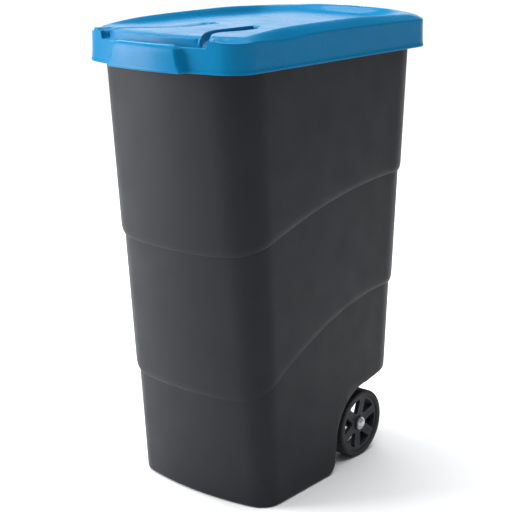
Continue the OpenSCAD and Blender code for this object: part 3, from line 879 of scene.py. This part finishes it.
def make_web(name):
    """The web as a plate of even thickness, dished."""
    plan, faces = web_plan()
    face_w = web_face(np.hypot(*np.array(plan).T))
    n = len(plan)
    verts = [(WHEEL_INNER_X + w, AXLE_Y + u, WHEEL_R + v) for (u, v), w in zip(plan, face_w)]
    verts += [(WHEEL_INNER_X + w - WEB_T, AXLE_Y + u, WHEEL_R + v) for (u, v), w in zip(plan, face_w)]
    sides = {(f[i], f[(i + 1) % 3]): None for f in faces for i in range(3)}
    walls = [[b, a, a + n, b + n] for a, b in sides if (b, a) not in sides]
    return make_object(name, verts, faces + [[i + n for i in f[::-1]] for f in faces] + walls, 30)


def make_rim():
    """The wheel's rim: the drum that the tyre sits on, with a lip at its outer end."""
    near, far = 2.5, WHEEL_WIDTH - 2.5
    profile = [(RIM_INNER_R, near + 0.3, 0.8), (TYRE_INNER_R - 1.6, near, 0.8),
               (TYRE_INNER_R, near - 0.2, 0.8), (TYRE_INNER_R, far + 0.2, 0.8),
               (TYRE_INNER_R - 1.8, far, 0.9), (TYRE_INNER_R - 2.6, far - 1.4, 0.6),
               (RIM_INNER_R - 0.2, far - 1.6, 0.8)]
    return lathe_x("rim", rounded_profile(profile), WHEEL_CENTRE, 160)


def make_hub():
    washer, play = 1.5, 0.8
    near = BRACKET_X + BRACKET_T + washer + play - WHEEL_INNER_X
    far = WHEEL_OUT_X - 3.4 - WHEEL_INNER_X
    bore_r = AXLE_R + BORE_GAP
    profile = [(bore_r, near, 0.3), (HUB_R, near, 1.0), (HUB_R, web_face(HUB_R) - WEB_T, 1.0),
               (HUB_R, far, 1.2), (bore_r, far, 0.3)]
    return lathe_x("hub", rounded_profile(profile), WHEEL_CENTRE, 96)


def make_wheel(side, word):
    """The rim, the dished spokes and the hub, as one moulding."""
    wheel = make_web("wheel_moulding_" + word)
    boolean(wheel, make_rim(), "UNION")
    boolean(wheel, make_hub(), "UNION")
    bevel(wheel, 0.8, 2, 50)
    if side < 0:
        wheel.data.transform(Matrix.Scale(-1, 4, (1, 0, 0)))
        wheel.data.flip_normals()
    shade(wheel, 32)
    return wheel


# Round the tyre, each sipe takes these steps: how deep it is at each, as a share of SIPE_DEPTH.
SIPE = (0, 0, 0, 0, 0, 0.55, 1.0, 0.55)
SIPE_COUNT, SIPE_DEPTH = 40, 1.3
GROOVES, GROOVE_DEPTH, GROOVE_WIDTH = 3, 1.6, 2.6


def tyre_profile():
    """The tyre's section, from its inner face over the tread to its outer face: radius, distance outwards."""
    r0, r1, w = TYRE_INNER_R + BORE_GAP, WHEEL_R, WHEEL_WIDTH
    round_r = 3.4
    shoulder = [(r1 - round_r * (1 - sin(a)), 3.6 - round_r * cos(a)) for a in np.linspace(0.15, pi / 2, 6)]
    floor, half = r1 - GROOVE_DEPTH, GROOVE_WIDTH / 2
    groove = [(r1, -half - 0.4), (r1 - 0.35, -half), (floor, -half + 0.35),
              (floor, half - 0.35), (r1 - 0.35, half), (r1, half + 0.4)]
    profile = [(r0, 1.2), (r0 + 2.2, 0.15), (r0 + 4.5, 0.0), (r1 - 4.6, 0.1)] + shoulder
    for k in range(1, GROOVES + 1):
        profile += [(r, k * w / (GROOVES + 1) + d) for r, d in groove]
    profile += [(r, w - d) for r, d in shoulder[::-1]]
    return profile + [(r1 - 4.6, w - 0.1), (r0 + 4.5, w), (r0 + 2.2, w - 0.15), (r0, w - 1.2)]


def make_tyre(side, word):
    """A solid tyre with grooves round it and short sipes across its shoulders."""
    profile = tyre_profile()
    n, steps = len(profile), SIPE_COUNT * len(SIPE)
    points, faces = [], []
    for k in range(steps):
        a = 2 * pi * k / steps
        depth = SIPE_DEPTH * SIPE[k % len(SIPE)]
        for r, d in profile:
            on_shoulder = 1.2 < min(d, WHEEL_WIDTH - d) < 8.6 and r > WHEEL_R - 3.0
            rr = r - depth if on_shoulder else r
            points.append((side * (WHEEL_INNER_X + d), AXLE_Y + rr * cos(a), WHEEL_R + rr * sin(a)))
        for i in range(n):
            j, after = (i + 1) % n, (k + 1) % steps
            faces.append([k * n + i, k * n + j, after * n + j, after * n + i])
    obj = make_object("tread_" + word, points, faces, 34)
    fix_normals(obj)
    shade(obj, 34)
    return obj


# ---- Materials ------------------------------------------------------------------------------
class Nodes:
    """A small wrapper that adds and links shader nodes."""

    def __init__(self, name):
        self.material = bpy.data.materials.new(name)
        self.material.use_nodes = True
        self.tree = self.material.node_tree
        self.shader = self.tree.nodes["Principled BSDF"]

    def add(self, kind, **settings):
        node = self.tree.nodes.new(kind)
        for key, value in settings.items():
            if key in node.inputs.keys():
                node.inputs[key].default_value = value
            else:
                setattr(node, key, value)
        return node

    def link(self, a, output, b, socket):
        self.tree.links.new(a.outputs[output], b.inputs[socket])

    def noise(self, scale, detail=2.0, roughness=0.5, stretch=(1, 1, 1)):
        """Noise in the object's own space, in cells per metre."""
        where = self.add("ShaderNodeTexCoord")
        mapping = self.add("ShaderNodeMapping", Scale=stretch)
        node = self.add("ShaderNodeTexNoise", Scale=scale, Detail=detail, Roughness=roughness)
        self.link(where, "Object", mapping, "Vector")
        self.link(mapping, "Vector", node, "Vector")
        return node

    def bump(self, source, output, strength, distance):
        node = self.add("ShaderNodeBump", Strength=strength, Distance=distance)
        self.link(source, output, node, "Height")
        self.link(node, "Normal", self.shader, "Normal")

    def ramp(self, source, output, low, high, a, b):
        """Maps a value between low and high to a value between a and b."""
        node = self.add("ShaderNodeMapRange", **{"From Min": low, "From Max": high, "To Min": a, "To Max": b})
        self.link(source, output, node, "Value")
        return node

    def math(self, operation, first, second):
        node = self.add("ShaderNodeMath", operation=operation)
        for socket, value in ((0, first), (1, second)):
            if isinstance(value, tuple):
                self.link(value[0], value[1], node, socket)
            else:
                node.inputs[socket].default_value = value
        return node

    def mix(self, factor, a, b):
        """Mixes two colours; factor is a (node, output) pair and a colour can be one too."""
        node = self.add("ShaderNodeMix", data_type="RGBA")
        self.tree.links.new(factor[0].outputs[factor[1]], node.inputs[0])
        for socket, value in ((6, a), (7, b)):
            if isinstance(value, tuple) and not isinstance(value[0], (int, float)):
                self.tree.links.new(value[0].outputs[value[1]], node.inputs[socket])
            else:
                node.inputs[socket].default_value = value
        return node

    def edges(self, low=0.52, high=0.62):
        """1 on convex edges, 0 on flat faces."""
        geometry = self.add("ShaderNodeNewGeometry")
        return self.ramp(geometry, "Pointiness", low, high, 0, 1)


def colour(r, g, b):
    """A linear colour from 0..255 display values."""
    def one(c):
        c /= 255
        return c / 12.92 if c <= 0.04045 else ((c + 0.055) / 1.055) ** 2.4
    return (one(r), one(g), one(b), 1.0)


def moulded_plastic(name, base, light, dark, rough, grain, grain_strength, scuff, specular):
    """Injection-moulded plastic: a fine moulded grain, faint flow marks, scuffs and paler rubbed edges."""
    n = Nodes(name)
    n.shader.inputs["Specular IOR Level"].default_value = specular
    cloud = n.noise(7.0, 4.0, 0.55)
    fleck = n.noise(260.0, 2.0, 0.6)
    tone = n.mix((n.ramp(cloud, "Fac", 0.3, 0.7, 0, 1), "Result"), dark, base)
    tone = n.mix((n.ramp(fleck, "Fac", 0.45, 0.8, 0, 0.12), "Result"), (tone, 2), light)
    scratch = n.noise(55.0, 5.0, 0.7, (1.0, 1.0, 0.12))
    scratch_mask = n.ramp(scratch, "Fac", 0.63, 0.72, 0, scuff)
    rub = n.noise(38.0, 3.0, 0.6)
    rub_share = n.ramp(rub, "Fac", 0.4, 0.62, 0.1, 0.75)
    rub_amount = n.math("MULTIPLY", (n.edges(), "Result"), (rub_share, "Result"))
    wear = n.math("MAXIMUM", (scratch_mask, "Result"), (rub_amount, 0))
    worn = n.mix((wear, 0), (tone, 2), light)
    n.link(worn, 2, n.shader, "Base Color")
    soft = n.noise(19.0, 3.0, 0.5)
    roughness = n.ramp(soft, "Fac", 0.3, 0.7, rough - 0.05, rough + 0.05)
    rougher = n.math("ADD", (roughness, "Result"), (n.math("MULTIPLY", (wear, 0), 0.12), 0))
    n.link(rougher, 0, n.shader, "Roughness")
    fine = n.noise(grain, 2.0, 0.55)
    wave = n.noise(11.0, 2.0, 0.4)
    height = n.math("ADD", (n.math("MULTIPLY", (fine, "Fac"), 0.35), 0), (wave, "Fac"))
    n.bump(height, 0, grain_strength, 0.0012)
    return n.material


def rubber(name):
    n = Nodes(name)
    n.shader.inputs["Specular IOR Level"].default_value = 0.35
    dust = n.noise(30.0, 5.0, 0.65)
    tone = n.mix((n.ramp(dust, "Fac", 0.45, 0.75, 0, 0.5), "Result"), colour(30, 30, 33), colour(58, 57, 57))
    worn = n.mix((n.edges(0.52, 0.6), "Result"), (tone, 2), colour(66, 65, 66))
    n.link(worn, 2, n.shader, "Base Color")
    n.link(n.ramp(dust, "Fac", 0.3, 0.7, 0.62, 0.8), "Result", n.shader, "Roughness")
    fine = n.noise(1100.0, 3.0, 0.6)
    n.bump(fine, "Fac", 0.3, 0.0006)
    return n.material


def steel(name, base, dull, rough, stretch):
    """Plated steel with drawn lines and dull patches."""
    n = Nodes(name)
    n.shader.inputs["Metallic"].default_value = 1.0
    patch = n.noise(70.0, 4.0, 0.6)
    tone = n.mix((n.ramp(patch, "Fac", 0.42, 0.68, 0, 1), "Result"), base, dull)
    worn = n.mix((n.edges(0.53, 0.65), "Result"), (tone, 2), colour(215, 216, 218))
    n.link(worn, 2, n.shader, "Base Color")
    drawn = n.noise(420.0, 3.0, 0.6, stretch)
    n.link(n.ramp(drawn, "Fac", 0.3, 0.7, rough - 0.07, rough + 0.1), "Result", n.shader, "Roughness")
    n.bump(drawn, "Fac", 0.25, 0.0004)
    return n.material


TUB_PLASTIC = moulded_plastic(
    "tub_grain_plastic", base=colour(26, 28, 33), light=colour(52, 54, 59), dark=colour(22, 24, 28),
    rough=0.45, grain=900.0, grain_strength=0.12, scuff=0.08, specular=0.16)
LID_PLASTIC = moulded_plastic(
    "lid_blue_plastic", base=colour(0, 106, 151), light=colour(26, 130, 173), dark=colour(0, 102, 146),
    rough=0.3, grain=1000.0, grain_strength=0.03, scuff=0.04, specular=0.1)
PIN_PLASTIC = moulded_plastic(
    "pin_plastic", base=colour(40, 41, 45), light=colour(76, 77, 80), dark=colour(34, 35, 38),
    rough=0.45, grain=1400.0, grain_strength=0.15, scuff=0.08, specular=0.3)
WHEEL_PLASTIC = moulded_plastic(
    "wheel_plastic", base=colour(33, 35, 40), light=colour(68, 70, 75), dark=colour(28, 30, 35),
    rough=0.45, grain=1300.0, grain_strength=0.15, scuff=0.08, specular=0.16)
RUBBER = rubber("tyre_rubber")
ZINC = steel("zinc_plate", colour(176, 178, 181), colour(136, 138, 142), 0.36, (0.08, 1, 1))
CAP = steel("cap_plate", colour(196, 197, 199), colour(160, 161, 164), 0.34, (1, 1, 1))


def paint(obj, material):
    obj.data.materials.clear()
    obj.data.materials.append(material)


# ---- Pieces ---------------------------------------------------------------------------------
def place(obj, body, material, node):
    """Hands a detailed piece over: its body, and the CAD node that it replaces."""
    paint(obj, material)
    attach(obj, body)
    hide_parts(node)


place(make_tub(), "tub", TUB_PLASTIC, "tub")
place(make_lid(), "lid", LID_PLASTIC, "lid")
for side, word in ((-1, "left"), (1, "right")):
    place(make_wheel(side, word), "wheel_" + word, WHEEL_PLASTIC, "wheel_" + word)
    place(make_tyre(side, word), "wheel_" + word, RUBBER, "tyre_" + word)

# The small hardware stays the CAD's own, with a material and finer edges.
PAIRS = (("hinge_pin", PIN_PLASTIC), ("inner_washer", ZINC), ("outer_washer", ZINC), ("axle_cap", CAP))
HARDWARE = [(f"{name}_{word}", material) for name, material in PAIRS for word in ("left", "right")]
for node, material in [("axle", ZINC)] + HARDWARE:
    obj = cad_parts[node]
    paint(obj, material)
    modifier = obj.modifiers.new("weld", "WELD")
    modifier.merge_threshold = 0.00001
    bevel(obj, 0.25, 2, 40, apply=False)


# ---- Studio ---------------------------------------------------------------------------------
def studio_floor():
    """A flat pale floor that reaches past the camera's view."""
    m, tile = 40, 1500.0
    points = [((i - m / 2) * tile, (j - m / 2) * tile, 0.0) for j in range(m + 1) for i in range(m + 1)]
    faces = [[j * (m + 1) + i, j * (m + 1) + i + 1, (j + 1) * (m + 1) + i + 1, (j + 1) * (m + 1) + i]
             for j in range(m) for i in range(m)]
    obj = make_object("studio_floor", points, faces, 60)
    n = Nodes("floor_paper")
    n.shader.inputs["Specular IOR Level"].default_value = 0.2
    mottle = n.noise(3.0, 3.0, 0.5)
    shade_share = n.ramp(mottle, "Fac", 0.3, 0.7, 0, 1)
    tone = n.mix((shade_share, "Result"), (0.86, 0.865, 0.875, 1), (0.88, 0.885, 0.895, 1))
    n.link(tone, 2, n.shader, "Base Color")
    n.shader.inputs["Roughness"].default_value = 0.85
    paint(obj, n.material)


def area_light(name, where, aim, size, power):
    light = bpy.data.lights.new(name, "AREA")
    light.shape = "RECTANGLE"
    light.size, light.size_y = size
    light.energy = power
    obj = bpy.data.objects.new(name, light)
    obj.location = where
    obj.rotation_euler = (Vector(aim) - Vector(where)).to_track_quat("-Z", "Y").to_euler()
    scene.collection.objects.link(obj)


# The camera looks from the front, round to the right. Its numbers were solved on the real bin's outlines.
AZIMUTH, ELEVATION, DISTANCE = math.radians(39.308), math.radians(15.543), 2.526085
BACK = Vector((sin(AZIMUTH) * cos(ELEVATION), -cos(AZIMUTH) * cos(ELEVATION), sin(ELEVATION)))
RIGHT = Vector((cos(AZIMUTH), sin(AZIMUTH), 0))
UP = BACK.cross(RIGHT)
target = RIGHT * 0.004212 + Vector((0, -0.028, 0.437626))
camera_data = bpy.data.cameras.new("camera")
camera_data.sensor_width = 36.0
camera_data.lens = 91.95
camera_data.shift_y = -0.00733
camera_data.clip_end = 60.0
camera = bpy.data.objects.new("camera", camera_data)
camera.matrix_world = Matrix((RIGHT, UP, BACK)).transposed().to_4x4()
camera.location = target + BACK * DISTANCE
scene.collection.objects.link(camera)
scene.camera = camera

studio_floor()
# A broad overhead light makes the floor white. The key lights the front from the left, the window is what the
# lid's panel mirrors, and the softbox and the ceiling give the lid's ridge and corners their highlights.
overhead = bpy.data.lights.new("overhead", "SUN")
overhead.energy = 3.1
overhead.angle = math.radians(60)
overhead_obj = bpy.data.objects.new("overhead", overhead)
overhead_obj.location = (0, 0, 5)
scene.collection.objects.link(overhead_obj)
area_light("key", (-2.65, -2.5, 1.5), (0, 0, 0.5), (1.8, 2.2), 188)
area_light("window", (-2.1, 3.2, 1.75), (0, 0, 0.86), (3.4, 1.2), 19)
area_light("softbox", (-1.75, -0.15, 2.75), (0, -0.2, 0.86), (0.7, 1.6), 60)
area_light("ceiling", (-0.5, 0.6, 3.0), (0, -0.1, 0.88), (0.9, 0.6), 18)

world = bpy.data.worlds.new("sky")
scene.world = world
world.use_nodes = True
background = world.node_tree.nodes["Background"]
background.inputs["Color"].default_value = (0.96, 0.98, 1.0, 1)
background.inputs["Strength"].default_value = 0.22
scene.view_settings.view_transform = "Standard"
scene.view_settings.look = "None"
